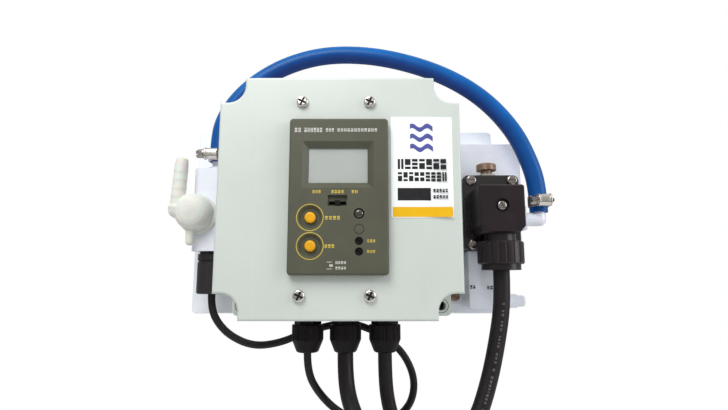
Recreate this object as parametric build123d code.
"""Salinity controller of a pool and spa water maker, millimetres, +Z up.

The origin is the centre of the back plate's rear face. +X is to the right seen from the front,
+Y goes into the wall. A deep-lid controller box with a panel meter sits on a white back plate,
with a probe cell on its left, a solenoid valve on its right and a blue hose arched between them.
"""
from build123d import *
import os
from math import cos, pi, radians, sin, tan

# back plate
PLATE_W = 216.0
PLATE_H = 132.0
PLATE_T = 4.0
PLATE_CORNER_R = 3.0
MOUNT_HOLE_R = 2.75
MOUNT_HOLE_X = 77.0
MOUNT_HOLE_Z = 40.0

# controller box
BOX = 133.0
BOX_Z = 2.0
NOTCH = 14.0
NOTCH_R = 9.4
WALL = 3.0
BASE_FRONT = -54.0
BASE_BACK_WALL = 3.0
GASKET_T = 1.0
LID_REAR = BASE_FRONT - GASKET_T
LID_FRONT = -99.0
LID_INSIDE = -93.5
LID_FIELD_HALF = 46.0
WING_DROP = 1.4
EAR_INSET = 6.0
EAR_WELL_R = 4.3
LID_SCREW_X = (-20.4, 16.6)
LID_SCREW_Z = (-51.6, 53.8)
POST_R = 4.5
INSERT_R = 2.6
SCREW_R = 1.6

# panel meter
METER_Z = 1.0
BEZEL_W = 53.0
BEZEL_H = 84.0
BEZEL_REAR = -99.6
BEZEL_FRONT = -104.2
CASE_W = 46.0
CASE_H = 74.0
CASE_WALL = 1.8
CASE_REAR = -20.0
WINDOW = (-0.4, 17.5, 38.0, 25.4)
WINDOW_DEPTH = 2.4
PANE_T = 0.8
LCD = (-0.4, 17.3, 32.0, 19.0)
RING_CENTRES = ((-14.8, -11.0), (-14.6, -25.9))
RING_R = 6.4
BUTTON_R = 3.0
BUTTON_TRAVEL = 1.2
SWITCH = (-0.5, -2.0, 10.2, 5.8)
SWITCH_KNOB_W = 2.8
LED_AT = (10.9, -8.9)
LED_R = 2.7
BLANK_AT = (10.9, -17.1)
TRIMMERS_AT = ((10.9, -23.3), (10.9, -28.8))
TRIMMER_R = 2.0

# sticker
STICKER_X = (28.1, 61.8)
STICKER_Z = (-10.5, 45.4)
STICKER_T = 0.25

# cable glands under the box
BOX_BOTTOM = BOX_Z - BOX / 2
GLAND_X = (-23.0, 1.5, 27.0)
GLAND_Y = -30.0
GLAND_BORE = (2.6, 5.2, 4.6)
GLAND_THREAD_R = 6.0
GLAND_HEX_R = 7.6
GLAND_NUT_R = 10.2
GLAND_NUT_TOP = -71.2
GLAND_NUT_END = -88.9

# probe cell and inlet on the left
CELL_X = (-100.0, -76.0)
CELL_Y = (-4.0, -38.0)
CELL_Z = (-24.2, 31.0)
PROBE_XY = (-88.0, -25.0)
PROBE_R = 10.0
PROBE_END = -52.0
LEFT_BARB_XY = (-88.0, -23.4)
INLET_AT = (-96.7, 0.6)
INLET_R = 12.0

# solenoid valve on the right
VALVE_X = 98.3
SOLENOID_Y = -24.0
COIL_X = (79.3, 117.0)
COIL_Y = (-12.0, -36.0)
COIL_Z = (-23.9, 26.6)
COIL_SCREW_X = (84.8, 112.0)
COIL_SCREW_Z = (-20.0, 22.8)
PLUNGER_R = 4.0
SEAT_Z = -34.0
CORE_BORE_R = 4.05
CORE_TUBE_R = 5.0
NUT_TOP = 28.6
STUD_R = 2.6
KNOB_Z = (32.0, 36.4)
RIGHT_BARB_XY = (131.2, -30.0)
RIGHT_SOCKET_X = (117.4, 121.0)
OUTLET_Z = -56.7
OUTLET_FACE = 108.5
DIN_X = (83.8, 111.8)
DIN_Y = (-36.8, -63.0)
DIN_Z = (-10.4, 15.0)
DIN_DROP = 4.4
DIN_SCREW_Z = 2.0
DIN_AXIS = (98.6, -51.0)
DIN_NUT_R = 14.2

# hose and cables
HOSE_R = 6.0
VALVE_CABLE_R = 5.1
PROBE_CABLE_R = 2.45
MAINS_R = 4.5
COIL_CENTRE = (24.0, -26.0, -202.0)
COIL_MEAN_R = 49.0
COIL_SECTION_X = 18.0
COIL_SECTION_Y = 27.0
COIL_TIE_ANGLES = (-38.0, 142.0)
CLAMPS = ((LEFT_BARB_XY, 42.0, 2.0), (RIGHT_BARB_XY, 9.2, 5.3))
CLIP_X = 2.0
CLIP_Y = -14.0
CLIP_Z = -71.6

HOSE_ROUTE = (
    (-88.0, -23.4, 38.2),
    (-88.0, -23.4, 54.0),
    (-85.8, -23.5, 67.5),
    (-77.5, -23.6, 82.5),
    (-63.0, -23.8, 97.0),
    (-42.0, -24.3, 109.5),
    (-15.0, -25.0, 117.0),
    (16.0, -26.0, 116.5),
    (46.0, -27.0, 109.8),
    (74.0, -28.2, 98.5),
    (98.0, -29.2, 82.0),
    (116.5, -29.8, 60.0),
    (126.0, -30.0, 39.0),
    (131.2, -30.0, 20.0),
    (131.2, -30.0, 2.0),
)
VALVE_CABLE_ROUTE = (
    (98.6, -51.0, -36.9),
    (98.6, -51.0, -56.0),
    (94.0, -52.0, -80.0),
    (87.5, -54.0, -104.0),
    (78.0, -57.0, -127.0),
    (60.0, -59.0, -144.0),
    (37.0, -58.0, -149.0),
    (18.0, -53.0, -140.0),
    (7.5, -44.0, -125.0),
    (1.5, -32.0, -108.0),
    (1.5, -30.0, -89.0),
)
PROBE_CABLE_ROUTE = (
    (-88.0, -25.0, -52.0),
    (-88.0, -25.0, -60.0),
    (-84.0, -24.8, -70.0),
    (-75.0, -23.4, -79.5),
    (-60.0, -20.8, -86.4),
    (-43.0, -17.8, -84.6),
    (-28.0, -15.5, -78.4),
    (-12.0, -14.2, -73.6),
    (4.0, -14.0, -71.4),
    (18.0, -14.2, -75.8),
    (31.0, -14.6, -83.0),
    (42.0, -14.6, -94.0),
    (48.0, -14.0, -110.0),
    (44.5, -13.2, -126.0),
    (31.0, -12.6, -136.5),
    (13.0, -13.4, -137.0),
    (-4.0, -17.5, -128.5),
    (-16.0, -23.5, -115.5),
    (-23.0, -29.0, -101.5),
    (-23.0, -30.0, -89.0),
)
MAINS_ROUTE = (
    (27.0, -30.0, -89.0),
    (27.0, -30.0, -105.0),
    (29.0, -30.8, -121.5),
    (34.0, -32.5, -136.5),
    (42.5, -34.5, -150.0),
)
TAIL_ROUTE = (
    (77.5, -26.0, -230.0),
    (77.9, -26.0, -246.0),
    (77.5, -26.0, -262.0),
    (77.5, -26.2, -277.0),
)
PLUG_TOP = -277.0


def save(name, *solids):
    """Write one node, from one solid or a group of separate ones."""
    shape = solids[0] if len(solids) == 1 else Compound(children=list(solids))
    export_step(shape, f"parts/{name}.step")


def block(x, y, z):
    """A box between two values on each axis."""
    size = [abs(pair[1] - pair[0]) for pair in (x, y, z)]
    middle = [(pair[1] + pair[0]) / 2 for pair in (x, y, z)]
    return Pos(*middle) * Box(*size)


def cone(radius, end_radius, start, end):
    """A straight round bar or cone between two points."""
    a = Vector(*start)
    b = Vector(*end)
    place = Plane(origin=a, z_dir=b - a)
    if abs(radius - end_radius) < 1e-6:
        return place * Cylinder(radius, (b - a).length, align=(Align.CENTER, Align.CENTER, Align.MIN))
    return place * Cone(radius, end_radius, (b - a).length, align=(Align.CENTER, Align.CENTER, Align.MIN))


def rod(radius, start, end):
    """A round bar between two points."""
    return cone(radius, radius, start, end)


def slab(sketch, back, front):
    """A sketch in X and Z, as thick as from y=back to y=front."""
    return extrude(Plane.XZ.offset(-back) * sketch, back - front)


def rounded(width, height, radius, x=0.0, z=0.0):
    """A rounded rectangle in X and Z."""
    return Pos(x, z) * RectangleRounded(width, height, radius)


def box_outline(inset=0.0, notched=True):
    """The controller box seen from the front, with a round-ended notch in each corner of the lid."""
    size = BOX - 2 * inset
    face = Pos(0, BOX_Z) * Rectangle(size, size)
    if notched:
        for sx in (-1, 1):
            for sz in (-1, 1):
                side = 2 * (NOTCH + inset)
                notch = RectangleRounded(side, side, NOTCH_R + inset)
                face -= Pos(sx * BOX / 2, BOX_Z + sz * BOX / 2) * notch
    return face


def corner_points(half, centre_z):
    """The four corners of a square pattern, as X and Z."""
    return [(sx * half, centre_z + sz * half) for sx in (-1, 1) for sz in (-1, 1)]


EARS = corner_points(BOX / 2 - EAR_INSET, BOX_Z)
LID_SCREWS = [(x, z) for x in LID_SCREW_X for z in LID_SCREW_Z]
MANIFOLD_SCREWS = [(77.0, -54.0), (77.0, 50.0), (-71.5, -15.0), (-71.5, 21.0)]
SCREW_CORE_R = 2.05


def pan_head(x, z, seat, radius, height, slots, slot_width=0.9):
    """A screw head whose underside is at y=seat, domed, with a slot or a cross in it."""
    head = rod(radius, (x, seat, z), (x, seat - height, z))
    head = fillet(head.faces().sort_by(Axis.Y)[0].edges(), height * 0.55)
    for angle in slots:
        cut = Box(radius * 1.5, height, slot_width)
        head -= Pos(x, seat - height, z) * Rot(0, angle, 0) * cut
    return head


def make_back_plate():
    face = rounded(PLATE_W, PLATE_H, PLATE_CORNER_R)
    for sx in (-1, 1):
        for sz in (-1, 1):
            face -= Pos(sx * MOUNT_HOLE_X, sz * MOUNT_HOLE_Z) * Circle(MOUNT_HOLE_R)
    plate = slab(face, 0, -PLATE_T)
    plate = chamfer(plate.faces().sort_by(Axis.Y)[0].outer_wire().edges(), 0.6)
    for x, z in EARS + MANIFOLD_SCREWS:
        plate -= rod(SCREW_CORE_R, (x, -PLATE_T, z), (x, -0.9, z))
    save("back_plate", plate)


def make_base():
    """The rear half of the box: a square tray with four corner ears, four posts and three gland holes."""
    outer = slab(rounded(BOX, BOX, 3.0, 0, BOX_Z), -PLATE_T, BASE_FRONT)
    inner = slab(box_outline(WALL + 0.5), -PLATE_T - BASE_BACK_WALL, BASE_FRONT)
    base = outer - inner
    for x, z in EARS:
        base -= rod(EAR_WELL_R, (x, BASE_FRONT, z), (x, -PLATE_T - 5, z))
        base -= rod(2.1, (x, 0, z), (x, BASE_FRONT, z))
        ring = Circle(EAR_WELL_R + 1.0) - Circle(EAR_WELL_R)
        base += slab(Pos(x, z) * ring, BASE_FRONT, BASE_FRONT - 0.8)
    for x, z in LID_SCREWS:
        post = rod(POST_R, (x, -PLATE_T - BASE_BACK_WALL, z), (x, LID_INSIDE + 0.3, z))
        base += post - rod(INSERT_R, (x, LID_INSIDE + 0.3, z), (x, LID_INSIDE + 12.3, z))
    for x in GLAND_X:
        base -= rod(GLAND_THREAD_R + 0.1, (x, GLAND_Y, BOX_BOTTOM - 1), (x, GLAND_Y, BOX_BOTTOM + 8))
    save("enclosure_base", base)


def make_base_screws():
    """Four screws and washers down the ear wells, which hold the box to the back plate."""
    screws = []
    for x, z in EARS:
        shank = rod(2.0, (x, -1.0, z), (x, -PLATE_T - 5.6, z))
        screws.append(pan_head(x, z, -PLATE_T - 5.6, 3.6, 2.6, (0, 90)) + shank)
        screws.append(slab(Pos(x, z) * (Circle(4.1) - Circle(2.1)), -PLATE_T - 5, -PLATE_T - 5.6))
    save("base_screws", *screws)


def make_lid():
    """The deep front half, with concave corners, a flat field and slightly sloping sides."""
    lid = slab(box_outline(), LID_REAR, LID_FRONT)
    half = BOX / 2 + 1
    profile = make_face(
        Polyline(
            (-half, LID_REAR + 1),
            (-half, LID_FRONT + WING_DROP),
            (-LID_FIELD_HALF, LID_FRONT),
            (LID_FIELD_HALF, LID_FRONT),
            (half, LID_FRONT + WING_DROP),
            (half, LID_REAR + 1),
            close=True,
        )
    )
    lid &= Pos(0, 0, BOX_Z - half) * extrude(profile, 2 * half)
    front = [e for e in lid.edges() if e.bounding_box().max.Y < LID_INSIDE - 1]
    rim = [e for e in front if not all(abs(abs(v.X) - LID_FIELD_HALF) < 0.01 for v in e.vertices())]
    lid = fillet(rim, 1.4)
    lid -= slab(box_outline(WALL), LID_REAR, LID_INSIDE)
    lid -= slab(Pos(0, METER_Z) * Rectangle(CASE_W + 0.4, CASE_H + 0.4), LID_REAR, LID_FRONT)
    for x, z in LID_SCREWS:
        lid -= rod(SCREW_R + 0.2, (x, LID_REAR, z), (x, LID_FRONT - 1, z))
    save("enclosure_lid", lid)


def make_gaskets():
    """The lid's seal on the base, and the meter's seal on the lid."""
    lid_ring = box_outline(0.6) - box_outline(2.4)
    meter_ring = rounded(BEZEL_W - 1.4, BEZEL_H - 1.4, 1.5, 0, METER_Z)
    meter_ring -= rounded(CASE_W + 0.6, CASE_H + 0.6, 1.5, 0, METER_Z)
    save("box_gaskets", slab(lid_ring, BASE_FRONT, LID_REAR), slab(meter_ring, LID_FRONT, BEZEL_REAR))


def make_lid_screws():
    screws = []
    inserts = []
    for x, z in LID_SCREWS:
        shank = rod(SCREW_R, (x, LID_FRONT, z), (x, LID_INSIDE + 8, z))
        screws.append(pan_head(x, z, LID_FRONT, 3.3, 2.3, (25, 115), 1.2) + shank)
        sleeve = rod(INSERT_R, (x, LID_INSIDE + 0.3, z), (x, LID_INSIDE + 9, z))
        inserts.append(sleeve - rod(SCREW_R, (x, LID_INSIDE + 0.3, z), (x, LID_INSIDE + 9, z)))
    save("lid_screws", *screws)
    save("lid_inserts", *inserts)


def make_front_label():
    """The sticker, bent over the edge of the lid's flat field."""
    half = BOX / 2 + 1
    slope = WING_DROP / (half - LID_FIELD_HALF)
    x0, x1 = STICKER_X
    edge = LID_FRONT + slope * (x1 - LID_FIELD_HALF)
    profile = make_face(
        Polyline(
            (x0, LID_FRONT),
            (LID_FIELD_HALF, LID_FRONT),
            (x1, edge),
            (x1, edge - STICKER_T),
            (LID_FIELD_HALF, LID_FRONT - STICKER_T),
            (x0, LID_FRONT - STICKER_T),
            close=True,
        )
    )
    label = Pos(0, 0, STICKER_Z[0]) * extrude(profile, STICKER_Z[1] - STICKER_Z[0])
    save("front_label", label)


def make_bezel():
    """The meter's front, with its window, button dishes, switch slot, lamp and trimmer holes."""
    bezel = slab(rounded(BEZEL_W, BEZEL_H, 2.0, 0, METER_Z), BEZEL_REAR, BEZEL_FRONT)
    bezel = chamfer(bezel.faces().sort_by(Axis.Y)[0].edges(), 1.0)
    x, z, w, h = WINDOW
    mouth = Plane.XZ.offset(-BEZEL_FRONT) * Pos(x, z) * Rectangle(w, h)
    x, z, w, h = LCD
    throat = Plane.XZ.offset(-BEZEL_FRONT - WINDOW_DEPTH) * Pos(x, z) * Rectangle(w, h)
    bezel -= loft([mouth, throat])
    bezel -= slab(Pos(x, z) * Rectangle(w, h), BEZEL_REAR, BEZEL_FRONT + 0.5)
    for x, z in RING_CENTRES:
        bezel -= cone(RING_R, RING_R - 1.4, (x, BEZEL_FRONT, z), (x, BEZEL_FRONT + 1.8, z))
        bezel -= rod(BUTTON_R + 0.25, (x, BEZEL_FRONT, z), (x, BEZEL_REAR, z))
    x, z, w, h = SWITCH
    bezel -= slab(Pos(x, z) * Rectangle(w, h), BEZEL_FRONT + 2.0, BEZEL_FRONT - 1)
    bezel -= slab(Pos(x, z - 1.2) * Rectangle(w - 1.2, 2.0), BEZEL_REAR, BEZEL_FRONT)
    bezel -= rod(LED_R + 0.15, (LED_AT[0], BEZEL_FRONT, LED_AT[1]), (LED_AT[0], BEZEL_REAR, LED_AT[1]))
    blank = Pos(*BLANK_AT) * (Circle(2.7) - Circle(2.3))
    bezel -= slab(blank, BEZEL_FRONT + 0.4, BEZEL_FRONT - 1)
    for x, z in TRIMMERS_AT:
        bezel -= rod(TRIMMER_R + 0.15, (x, BEZEL_FRONT, z), (x, BEZEL_REAR, z))
    save("meter_bezel", bezel)


def make_meter_case():
    outline = rounded(CASE_W, CASE_H, 1.5, 0, METER_Z)
    inside = rounded(CASE_W - 2 * CASE_WALL, CASE_H - 2 * CASE_WALL, 1.0, 0, METER_Z)
    case = slab(outline, CASE_REAR, BEZEL_REAR) - slab(inside, CASE_REAR - 2.0, BEZEL_REAR)
    case -= slab(Pos(0, METER_Z) * Rectangle(36, 14), CASE_REAR, CASE_REAR - 3)
    save("meter_case", case)


def make_display():
    x, z, w, h = LCD
    pane_back = BEZEL_FRONT + WINDOW_DEPTH + PANE_T
    pane = slab(Pos(x, z) * Rectangle(w - 0.2, h - 0.2), pane_back, BEZEL_FRONT + WINDOW_DEPTH)
    save("display_window", pane)
    glass = slab(Pos(x, z) * Rectangle(w - 0.4, h - 0.4), -98.0, pane_back + 0.1)
    tray = slab(Pos(x, z) * Rectangle(w + 6, h + 8), -96.0, -98.0)
    save("display_module", glass + tray)


def make_circuit_boards():
    """The meter's front board, and its main board with the relay and transformer blocks."""
    face = rounded(41, 68, 1, 0, METER_Z)
    front = slab(face, -93.4, -95.0)
    main = block((14.0, 15.6), (-92.0, -28.5), (METER_Z - 32, METER_Z + 32))
    relay = block((2.0, 14.0), (-60.0, -44.0), (METER_Z - 26, METER_Z - 6))
    transformer = block((-12.0, 14.0), (-58.0, -32.0), (METER_Z + 2, METER_Z + 28))
    save("circuit_boards", front, main + relay + transformer)


def make_terminal_block():
    body = block((-17.5, 17.5), (CASE_REAR - 8, CASE_REAR + 8), (METER_Z - 6.5, METER_Z + 6.5))
    for i in range(7):
        x = -15.0 + i * 5.0
        body -= rod(1.5, (x, CASE_REAR + 2, METER_Z + 3.2), (x, CASE_REAR + 9, METER_Z + 3.2))
        body -= block((x - 1.6, x + 1.6), (CASE_REAR + 1, CASE_REAR + 9), (METER_Z - 5.5, METER_Z - 2))
    save("terminal_block", body)


def make_meter_brackets():
    """Two clamp brackets that pull the meter against the lid, each with its screw."""
    brackets = []
    screws = []
    for side in (-1, 1):
        x = side * (CASE_W / 2 + 0.1)
        arm = block((x, x + side * 2.4), (-84.0, -40.0), (METER_Z - 9, METER_Z + 9))
        foot = block((x, x + side * 9.0), (-56.0, -48.0), (METER_Z - 6, METER_Z + 6))
        hole_x = x + side * 5.6
        hole = rod(1.9, (hole_x, -40, METER_Z), (hole_x, -60, METER_Z))
        brackets.append(arm + foot - hole)
        shank = rod(1.6, (hole_x, -42.0, METER_Z), (hole_x, LID_INSIDE, METER_Z))
        screws.append(shank + rod(3.2, (hole_x, -42.0, METER_Z), (hole_x, -39.8, METER_Z)))
    save("meter_brackets", *brackets)
    save("bracket_screws", *screws)


def make_buttons():
    """Domed push buttons in their dishes, on stems that reach the front board."""
    for name, (x, z) in zip(("measure_button", "set_button"), RING_CENTRES):
        cap = rod(BUTTON_R, (x, BEZEL_FRONT + 2.6, z), (x, BEZEL_FRONT - 0.4, z))
        cap = fillet(cap.faces().sort_by(Axis.Y)[0].edges(), 1.3)
        stem = rod(1.2, (x, BEZEL_FRONT + 2.6, z), (x, -95.0 - BUTTON_TRAVEL - 0.5, z))
        save(name, cap + stem)


def make_mode_switch():
    x, z, w, h = SWITCH
    knob = block(
        (x - SWITCH_KNOB_W / 2, x + SWITCH_KNOB_W / 2),
        (BEZEL_FRONT + 1.9, BEZEL_FRONT + 0.2),
        (z - h / 2 + 0.3, z - h / 2 + 3.1),
    )
    knob = chamfer(knob.faces().sort_by(Axis.Y)[0].edges(), 0.3)
    blade = block((x - 0.9, x + 0.9), (BEZEL_REAR + 2.0, BEZEL_FRONT + 1.9), (z - 1.9, z - 0.5))
    save("mode_slider", knob + blade)


def make_lamp_and_trimmers():
    x, z = LED_AT
    lamp = rod(LED_R, (x, -97.5, z), (x, BEZEL_FRONT - 0.5, z))
    lamp = fillet(lamp.faces().sort_by(Axis.Y)[0].edges(), 2.0)
    save("status_lamp", lamp)
    for name, (x, z) in zip(("calibration_trimmer", "setpoint_trimmer"), TRIMMERS_AT):
        screw = rod(TRIMMER_R, (x, BEZEL_REAR + 1.5, z), (x, BEZEL_FRONT + 0.9, z))
        screw -= Pos(x, BEZEL_FRONT + 0.9, z) * Rot(0, 30, 0) * Box(2.9, 1.4, 0.6)
        save(name, screw)


def make_glands():
    """Three cable glands through the box's floor, with lock nuts inside, domed nuts and all cable seals."""
    bodies = []
    locknuts = []
    nuts = []
    seals = []
    floor = BOX_BOTTOM
    inner_floor = BOX_BOTTOM + WALL + 0.5
    for x, bore in zip(GLAND_X, GLAND_BORE):
        hexagon = Pos(x, GLAND_Y) * RegularPolygon(GLAND_HEX_R, 6, major_radius=False)
        body = extrude(Plane.XY.offset(GLAND_NUT_TOP) * hexagon, floor - GLAND_NUT_TOP)
        body += rod(GLAND_THREAD_R, (x, GLAND_Y, floor), (x, GLAND_Y, inner_floor + 4.2))
        body += rod(7.0, (x, GLAND_Y, GLAND_NUT_TOP), (x, GLAND_Y, GLAND_NUT_TOP - 8))
        body -= rod(5.5, (x, GLAND_Y, -90), (x, GLAND_Y, -40))
        bodies.append(body)
        lock = Pos(x, GLAND_Y) * (RegularPolygon(9.0, 6, major_radius=False) - Circle(GLAND_THREAD_R + 0.05))
        locknuts.append(extrude(Plane.XY.offset(inner_floor) * lock, 3.5))
        skirt_end = GLAND_NUT_TOP - 9.5
        nut = rod(GLAND_NUT_R, (x, GLAND_Y, GLAND_NUT_TOP - 0.3), (x, GLAND_Y, skirt_end))
        nut += cone(GLAND_NUT_R, 6.9, (x, GLAND_Y, skirt_end), (x, GLAND_Y, GLAND_NUT_END))
        nut = fillet(nut.edges().sort_by(Axis.Z)[:2], 2.0)
        nut -= rod(7.1, (x, GLAND_Y, GLAND_NUT_TOP), (x, GLAND_Y, GLAND_NUT_TOP - 10.4))
        nut -= rod(bore + 0.2, (x, GLAND_Y, GLAND_NUT_TOP), (x, GLAND_Y, GLAND_NUT_END - 1))
        for i in range(12):
            groove = Pos(x, GLAND_Y, skirt_end + 3.5) * Rot(0, 0, i * 30) * Pos(GLAND_NUT_R + 0.5, 0, 0)
            nut -= groove * Cylinder(1.0, 14)
        nuts.append(nut)
        ring = rod(5.3, (x, GLAND_Y, GLAND_NUT_TOP - 7.5), (x, GLAND_Y, GLAND_NUT_TOP + 4))
        seals.append(ring - rod(min(bore, 5.0), (x, GLAND_Y, -90), (x, GLAND_Y, -60)))
    gx, gy = DIN_AXIS
    seal = rod(8.4, (gx, gy, -20.0), (gx, gy, -29.0)) - rod(VALVE_CABLE_R + 0.1, (gx, gy, -15), (gx, gy, -40))
    save("gland_bodies", *bodies)
    save("gland_locknuts", *locknuts)
    save("gland_nuts", *nuts)
    save("cable_seals", *seals, seal)


def make_cable_clip():
    """The clip under the box that carries the probe's cable behind the glands."""
    x = CLIP_X
    eye = rod(PROBE_CABLE_R + 1.9, (x - 3.5, CLIP_Y, CLIP_Z), (x + 3.5, CLIP_Y, CLIP_Z))
    eye += block((x - 3.5, x + 3.5), (CLIP_Y - 1.2, CLIP_Y + 1.2), (CLIP_Z, BOX_BOTTOM - 1.5))
    eye += block((x - 5.0, x + 5.0), (CLIP_Y - 5.0, CLIP_Y + 5.0), (BOX_BOTTOM - 1.8, BOX_BOTTOM))
    eye -= rod(PROBE_CABLE_R + 0.9, (x - 5, CLIP_Y, CLIP_Z), (x + 5, CLIP_Y, CLIP_Z))
    save("cable_clip", eye)


def make_probe_cell():
    """The white cell block on the left, with a vertical water way and a tab on the plate."""
    cell = block(CELL_X, CELL_Y, CELL_Z)
    cell = fillet(cell.edges().filter_by(Axis.Z), 5.0)
    tab = block((CELL_X[1] - 2, -67.0), (-PLATE_T, -PLATE_T - 4), (-20.0, 26.0))
    cell += tab
    x, y = PROBE_XY
    cell -= rod(7.0, (x, y, CELL_Z[0]), (x, y, 22.0))
    bx, by = LEFT_BARB_XY
    cell -= rod(4.0, (bx, by, 15.0), (bx, by, CELL_Z[1] + 1))
    ix, iz = INLET_AT
    cell -= rod(4.0, (-93.0, CELL_Y[1] - 1, iz), (-93.0, y, iz))
    for z in (-15.0, 21.0):
        cell -= rod(2.1, (-71.5, 0, z), (-71.5, -12, z))
    save("probe_cell", cell)


def make_left_barb():
    """The hose tail on top of the probe cell, with its flange and two barbs."""
    x, y = LEFT_BARB_XY
    tail = rod(6.3, (x, y, CELL_Z[1]), (x, y, 34.0))
    tail += rod(4.1, (x, y, 34.0), (x, y, 47.0))
    tail += rod(3.9, (x, y, CELL_Z[1]), (x, y, 24.0))
    tail -= rod(2.8, (x, y, 20), (x, y, 60))
    save("left_hose_tail", tail)


def make_inlet_elbow():
    """The translucent elbow on the left, with its barb pointing up."""
    x, z = INLET_AT
    y = -45.0
    foot = (-107.0, y, z + 0.8)
    tip = (-105.2, y, 35.6)
    hub = rod(INLET_R, (x, CELL_Y[1], z), (x, -52.0, z))
    hub = fillet(hub.faces().sort_by(Axis.Y)[0].edges(), 6.0)
    elbow = hub + Pos(*foot) * Sphere(5.0) + cone(4.8, 3.9, foot, tip)
    elbow += cone(4.9, 4.15, (-105.8, y, 24.0), (-105.5, y, 29.0))
    elbow += rod(2.7, (-98.4, -43.0, z - 8.0), (-98.4, -43.0, z - 21.8))
    elbow += rod(3.9, (-93.0, CELL_Y[1], z), (-93.0, CELL_Y[1] + 6, z))
    elbow -= rod(2.2, (-106.5, y, z + 10.0), (-105.15, y, 36.6))
    elbow -= rod(2.5, (-93.0, y + 1.0, z), (-93.0, CELL_Y[1] + 7, z))
    save("inlet_elbow", elbow)


def make_probe():
    """The conductivity probe, screwed up into the cell from below."""
    x, y = PROBE_XY
    body = rod(PROBE_R, (x, y, PROBE_END), (x, y, CELL_Z[0] - 1.6))
    body = chamfer(body.faces().sort_by(Axis.Z)[0].edges(), 0.8)
    body -= rod(PROBE_R + 1, (x, y, -31.0), (x, y, -30.0)) - rod(PROBE_R - 0.8, (x, y, -31.0), (x, y, -30.0))
    body += rod(6.8, (x, y, CELL_Z[0] - 1.6), (x, y, -6.0))
    pins = [(x - 2.5, y), (x + 2.5, y)]
    for px, py in pins:
        body -= rod(1.0, (px, py, -16), (px, py, -5))
    save("probe_body", body)
    rods = [rod(1.0, (px, py, -16.0), (px, py, 8.0)) for px, py in pins]
    save("probe_electrodes", *rods)
    ring = Pos(x, y, CELL_Z[0] - 0.8) * Torus(8.0, 0.78)
    save("probe_seal", ring)


def make_valve_manifold():
    """The white block behind and under the coil, with the water way to the outlet."""
    block_body = block((82.0, 125.7), (-PLATE_T, COIL_Y[0]), (22.0, 54.5))
    block_body += block((82.0, 112.0), (-PLATE_T, COIL_Y[0]), (-61.5, 54.5))
    block_body += block((112.0, 121.0), (-PLATE_T, COIL_Y[0]), (-12.0, 22.0))
    block_body += block(RIGHT_SOCKET_X, (-PLATE_T, -36.0), (-10.0, 5.5))
    block_body += block((82.0, OUTLET_FACE), (-PLATE_T, -34.0), (-61.5, COIL_Z[0] - 0.3))
    block_body = fillet(block_body.edges().filter_by(Axis.Y).sort_by(Axis.Z)[:2], 1.5)
    for z in (-54.0, 50.0):
        block_body += block((70.5, 82.0), (-PLATE_T, -PLATE_T - 4), (z - 5, z + 5))
        block_body -= rod(2.1, (77.0, 0, z), (77.0, -12, z))
    x = VALVE_X
    y = SOLENOID_Y
    block_body -= rod(8.2, (x, y, COIL_Z[0]), (x, y, SEAT_Z - 2.0)) - rod(3.6, (x, y, SEAT_Z - 2.0), (x, y, SEAT_Z))
    block_body -= rod(2.5, (x, y, SEAT_Z), (x, y, OUTLET_Z))
    block_body -= rod(2.5, (x, y, OUTLET_Z), (OUTLET_FACE + 1, y, OUTLET_Z))
    block_body -= rod(4.0, (OUTLET_FACE - 6, y, OUTLET_Z), (OUTLET_FACE + 1, y, OUTLET_Z))
    block_body -= rod(4.0, (RIGHT_SOCKET_X[0] - 1, -30.0, -2.7), (RIGHT_SOCKET_X[1] + 1, -30.0, -2.7))
    save("valve_manifold", block_body)


def make_manifold_screws():
    screws = []
    for x, z in MANIFOLD_SCREWS:
        head = pan_head(x, z, -PLATE_T - 4, 3.4, 2.0, (35,))
        screws.append(head + rod(2.0, (x, -1.0, z), (x, -PLATE_T - 4, z)))
    save("manifold_screws", *screws)


def make_outlet():
    """The short outlet tail at the lower right, with a shoulder and a rounded end."""
    x = OUTLET_FACE
    y = SOLENOID_Y
    z = OUTLET_Z
    tail = rod(3.7, (x, y, z), (x + 12.0, y, z))
    tail = fillet(tail.faces().sort_by(Axis.X)[-1].edges(), 1.2)
    tail += rod(3.9, (x - 5.5, y, z), (x, y, z)) + rod(4.6, (x, y, z), (x + 6.5, y, z))
    tail -= rod(2.3, (x - 6.5, y, z), (x + 13, y, z))
    save("outlet_tail", tail)


def make_right_elbow():
    """The elbow under the right end of the hose."""
    x, y = RIGHT_BARB_XY
    z = -2.7
    start, face = RIGHT_SOCKET_X
    elbow = rod(4.5, (face, y, z), (x, y, z)) + Pos(x, y, z) * Sphere(4.5)
    elbow += rod(4.4, (x, y, z), (x, y, 1.0))
    elbow += rod(4.1, (x, y, 1.0), (x, y, 11.5))
    elbow += rod(3.9, (start, y, z), (face, y, z))
    elbow -= rod(2.5, (start - 1, y, z), (x, y, z))
    elbow -= rod(2.5, (x, y, z), (x, y, 18))
    save("right_hose_elbow", elbow)


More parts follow.
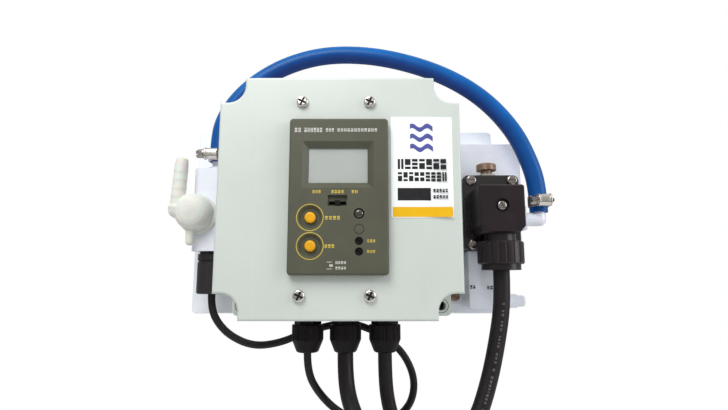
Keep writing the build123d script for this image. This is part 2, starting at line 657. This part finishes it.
def make_solenoid():
    """The coil housing with its winding, core tube, plunger, spring, seat seal and top knob."""
    x = VALVE_X
    y = SOLENOID_Y
    width = COIL_X[1] - COIL_X[0]
    height = COIL_Z[1] - COIL_Z[0]
    middle = (sum(COIL_X) / 2, sum(COIL_Z) / 2)
    housing = slab(rounded(width, height, 4.0, *middle), COIL_Y[0] - 0.2, COIL_Y[1])
    housing = fillet(housing.faces().sort_by(Axis.Y)[0].edges(), 1.0)
    housing -= rod(10.6, (x, y, -19.0), (x, y, 22.0))
    housing -= rod(CORE_TUBE_R + 0.1, (x, y, COIL_Z[0] - 1), (x, y, COIL_Z[1] + 1))
    for sx in COIL_SCREW_X:
        for sz in COIL_SCREW_Z:
            housing -= rod(1.7, (sx, COIL_Y[1] - 1, sz), (sx, COIL_Y[0], sz))
    save("coil_housing", housing)
    winding = rod(10.4, (x, y, -18.8), (x, y, 21.8)) - rod(CORE_TUBE_R + 0.2, (x, y, -20), (x, y, 23))
    save("coil_winding", winding)
    tube = rod(CORE_TUBE_R, (x, y, COIL_Z[0] - 0.3), (x, y, NUT_TOP))
    hexagon = Pos(x, y) * RegularPolygon(6.6, 6, major_radius=False)
    tube += extrude(Plane.XY.offset(COIL_Z[1] + 0.15) * hexagon, NUT_TOP - COIL_Z[1] - 0.15)
    tube += rod(STUD_R, (x, y, NUT_TOP), (x, y, KNOB_Z[0] + 1.0))
    tube += rod(8.0, (x, y, -26.0), (x, y, COIL_Z[0] - 0.3))
    tube -= rod(CORE_BORE_R, (x, y, -27.0), (x, y, 12.0))
    save("core_tube", tube)
    save("valve_plunger", rod(PLUNGER_R, (x, y, SEAT_Z), (x, y, 1.0)))
    spring = Solid.make_cylinder(3.4, 11.0, Plane(origin=(x, y, 1.0))) - rod(2.4, (x, y, 0.0), (x, y, 13.0))
    save("plunger_spring", spring)
    screws = []
    for sx in COIL_SCREW_X:
        for sz in COIL_SCREW_Z:
            shank = rod(1.6, (sx, COIL_Y[0] - 1.0, sz), (sx, COIL_Y[1], sz))
            screws.append(pan_head(sx, sz, COIL_Y[1], 3.4, 2.2, (0,)) + shank)
    save("coil_screws", *screws)


def make_override_knob():
    """The brass knob on the core tube's stud, with a narrow neck and a knurled head."""
    x = VALVE_X
    y = SOLENOID_Y
    low, high = KNOB_Z
    knob = rod(6.7, (x, y, low), (x, y, high))
    knob = chamfer(knob.faces().sort_by(Axis.Z)[-1].edges(), 0.5)
    for i in range(18):
        notch = Pos(x, y, low) * Rot(0, 0, i * 20) * Pos(6.9, 0, 0)
        knob -= notch * Cylinder(0.45, 12)
    knob += rod(3.8, (x, y, NUT_TOP + 0.3), (x, y, low))
    knob -= rod(STUD_R + 0.05, (x, y, NUT_TOP), (x, y, low + 1.3))
    save("override_knob", knob)


def make_din_plug():
    """The square valve plug on the front of the coil, with its gland pointing down."""
    width = DIN_X[1] - DIN_X[0]
    x = sum(DIN_X) / 2
    profile = make_face(
        Polyline(
            (DIN_X[0], DIN_Z[1]),
            (DIN_X[1], DIN_Z[1]),
            (DIN_X[1], DIN_Z[0]),
            (DIN_X[1] - 4.0, DIN_Z[0] - DIN_DROP),
            (DIN_X[0] + 4.0, DIN_Z[0] - DIN_DROP),
            (DIN_X[0], DIN_Z[0]),
            close=True,
        )
    )
    body = slab(profile, DIN_Y[0], DIN_Y[1])
    body = fillet(body.edges().filter_by(Axis.Y).sort_by(Axis.Z)[-2:], 1.6)
    body = chamfer(body.faces().sort_by(Axis.Y)[0].edges(), 0.9)
    gx, gy = DIN_AXIS
    body += rod(9.6, (gx, gy, DIN_Z[0] - 1), (gx, gy, -19.5))
    body -= rod(5.4, (gx, gy, DIN_Z[0] + 8), (gx, gy, -20))
    body -= block((x - 9, x + 9), (DIN_Y[0], DIN_Y[0] - 12), (-9.0, 9.0))
    body -= rod(1.7, (x, DIN_Y[0], DIN_SCREW_Z), (x, DIN_Y[1] - 1, DIN_SCREW_Z))
    body -= rod(4.2, (x, DIN_Y[1] + 2.2, DIN_SCREW_Z), (x, DIN_Y[1] - 1, DIN_SCREW_Z))
    save("din_plug_housing", body)
    insert = block((x - 8.8, x + 8.8), (DIN_Y[0] - 0.2, DIN_Y[0] - 11.5), (-8.8, 8.8))
    insert -= rod(1.7, (x, DIN_Y[0], DIN_SCREW_Z), (x, DIN_Y[0] - 13, DIN_SCREW_Z))
    save("din_contact_insert", insert)
    gasket = rounded(width, DIN_Z[1] - DIN_Z[0], 1.0, x, sum(DIN_Z) / 2)
    gasket -= Pos(x, DIN_SCREW_Z) * Circle(1.7)
    save("din_gasket", slab(gasket, COIL_Y[1], DIN_Y[0]))
    seat = DIN_Y[1] + 2.2
    shank = rod(1.6, (x, seat, DIN_SCREW_Z), (x, COIL_Y[1], DIN_SCREW_Z))
    save("din_screw", pan_head(x, DIN_SCREW_Z, seat, 3.0, 2.0, (60,)) + shank)
    nut = rod(DIN_NUT_R, (gx, gy, -19.5), (gx, gy, -33.3))
    nut = chamfer(nut.edges(), 0.8)
    for i in range(20):
        groove = Pos(gx, gy, -27.0) * Rot(0, 0, i * 18) * Pos(DIN_NUT_R + 0.5, 0, 0)
        nut -= groove * Cylinder(1.0, 30)
    nut += rod(12.0, (gx, gy, -33.3), (gx, gy, -36.9))
    nut -= rod(VALVE_CABLE_R + 0.2, (gx, gy, -15), (gx, gy, -40))
    nut -= rod(8.6, (gx, gy, -19.0), (gx, gy, -29.0))
    save("din_gland_nut", nut)


def make_hose_clamps():
    """A worm clamp on each end of the hose: a band, its worm housing in front, and a screw with its head on the left."""
    bands = []
    screws = []
    for (x, y), z, right in CLAMPS:
        near = x + right
        far = near - 8.9
        worm_y = y - HOSE_R - 3.4
        band = rod(HOSE_R + 1.0, (x, y, z - 3.6), (x, y, z + 3.6))
        band += block((far, near), (y - HOSE_R - 0.6, worm_y - 3.0), (z - 3.9, z + 3.9))
        band -= rod(HOSE_R + 0.1, (x, y, z - 5), (x, y, z + 5))
        band -= rod(2.0, (far - 1, worm_y, z), (near + 1, worm_y, z))
        bands.append(band)
        head = far - 0.2
        screw = rod(1.8, (near + 2.0, worm_y, z), (head, worm_y, z))
        cap = rod(3.2, (head, worm_y, z), (head - 5.0, worm_y, z))
        cap -= Pos(head - 5.0, worm_y, z) * Rot(25, 0, 0) * Box(2.6, 9.0, 1.0)
        screws.append(screw + cap)
    save("hose_clamps", *bands)
    save("hose_clamp_screws", *screws)


def corner_radii(points):
    """Each arc as large as its two runs allow: 0.45 of the shorter run, over the tangent of half the turn."""
    radii = []
    for before, here, after in zip(points, points[1:], points[2:]):
        run_in = here - before
        run_out = after - here
        half_turn = radians(run_in.get_angle(run_out)) / 2
        radii.append(0.45 * min(run_in.length, run_out.length) / tan(half_turn))
    return radii


def make_tube(name, route, radius, bore=0.0):
    """A cord's tube, along straight runs joined by tangent arcs."""
    points = [Vector(*p) for p in route]
    radii = corner_radii(points)
    path = FilletPolyline(*points, radius=radii)
    start = Plane(origin=points[0], z_dir=points[1] - points[0])
    section = Circle(radius)
    if bore:
        section -= Circle(bore)
    tube = sweep(start * section, path=path)
    length = path.length
    area = pi * (radius**2 - bore**2)
    print(f"{name}: length {length:.1f}, volume ratio {tube.volume / (area * length):.4f},"
          f" tightest {min(radii):.1f}, radii {[round(r, 1) for r in radii]}")
    save(name, tube)


def make_coil():
    """The put-away length of the mains lead: one ring with rounded sides, and its two ties."""
    x, y, z = COIL_CENTRE
    section = RectangleRounded(COIL_SECTION_X, COIL_SECTION_Y, 8.0)
    ring = revolve(Plane.XY * Pos(COIL_MEAN_R, 0) * section, Axis.Y)
    save("mains_lead_coil", Pos(x, y, z) * ring)
    outer = RectangleRounded(COIL_SECTION_X + 3.0, COIL_SECTION_Y + 3.0, 9.5)
    inner = RectangleRounded(COIL_SECTION_X + 0.2, COIL_SECTION_Y + 0.2, 8.1)
    band = extrude(Plane.XY * Pos(COIL_MEAN_R, 0) * (outer - inner), 2.4, both=True)
    ties = [Pos(x, y, z) * Rot(0, angle, 0) * band for angle in COIL_TIE_ANGLES]
    save("coil_ties", *ties)


def make_mains_plug():
    """A round two-pin plug that hangs on the tail of the lead, with a tapered strain relief."""
    x, y = TAIL_ROUTE[-1][:2]
    relief = cone(MAINS_R + 1.0, 8.0, (x, y, PLUG_TOP), (x, y, PLUG_TOP - 24))
    body = rod(18.0, (x, y, PLUG_TOP - 30), (x, y, PLUG_TOP - 58))
    body = fillet(body.faces().sort_by(Axis.Z)[0].edges(), 1.2)
    shoulder = cone(8.0, 18.0, (x, y, PLUG_TOP - 24), (x, y, PLUG_TOP - 30))
    plug = relief + shoulder + body
    for side in (-1, 1):
        plug -= rod(2.4, (x + side * 9.5, y, PLUG_TOP - 46), (x + side * 9.5, y, PLUG_TOP - 60))
    save("mains_plug", plug)
    pins = []
    for side in (-1, 1):
        pin = rod(2.4, (x + side * 9.5, y, PLUG_TOP - 46), (x + side * 9.5, y, PLUG_TOP - 77))
        pins.append(fillet(pin.faces().sort_by(Axis.Z)[0].edges(), 1.0))
    save("plug_pins", *pins)


def main():
    os.makedirs("parts", exist_ok=True)
    make_back_plate()
    make_base()
    make_base_screws()
    make_lid()
    make_gaskets()
    make_lid_screws()
    make_front_label()
    make_bezel()
    make_meter_case()
    make_display()
    make_circuit_boards()
    make_terminal_block()
    make_meter_brackets()
    make_buttons()
    make_mode_switch()
    make_lamp_and_trimmers()
    make_glands()
    make_cable_clip()
    make_probe_cell()
    make_left_barb()
    make_inlet_elbow()
    make_probe()
    make_valve_manifold()
    make_manifold_screws()
    make_outlet()
    make_right_elbow()
    make_solenoid()
    make_override_knob()
    make_din_plug()
    make_hose_clamps()
    make_tube("hose_loop", HOSE_ROUTE, HOSE_R, 4.2)
    make_tube("valve_cable", VALVE_CABLE_ROUTE, VALVE_CABLE_R)
    make_tube("probe_cable", PROBE_CABLE_ROUTE, PROBE_CABLE_R)
    make_tube("mains_lead", MAINS_ROUTE, MAINS_R)
    make_tube("mains_lead_tail", TAIL_ROUTE, MAINS_R)
    make_coil()
    make_mains_plug()


main()
